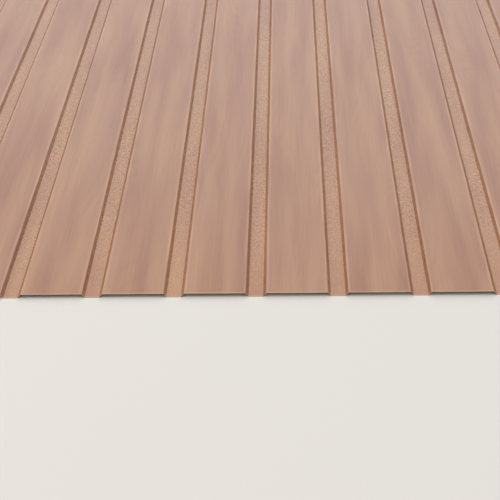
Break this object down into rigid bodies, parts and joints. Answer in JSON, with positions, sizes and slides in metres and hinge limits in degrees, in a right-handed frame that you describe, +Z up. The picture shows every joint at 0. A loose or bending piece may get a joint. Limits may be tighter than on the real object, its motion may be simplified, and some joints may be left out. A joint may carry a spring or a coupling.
{
  "type": "corrugated metal sheet",
  "caption": "Shallow ribbed sheet of brown coated steel: wide flat crests between narrow trapezoidal grooves that run its whole length, with plain cut ends and flat side lips.",
  "frame": {"origin": "on the floor that the grooves rest on, midway between the side edges and midway between the cut ends", "axes": "+X across the sheet, +Y along the grooves, +Z up, out of the weather face"},
  "size_m": [1.2, 2, 0.006],
  "materials": {
    "coated_steel": "satin polyester coil coating, warm mid brown"
  },
  "bodies": {
    "root": {"corrugated_sheet": "coated_steel"}
  },
  "joints": []
}
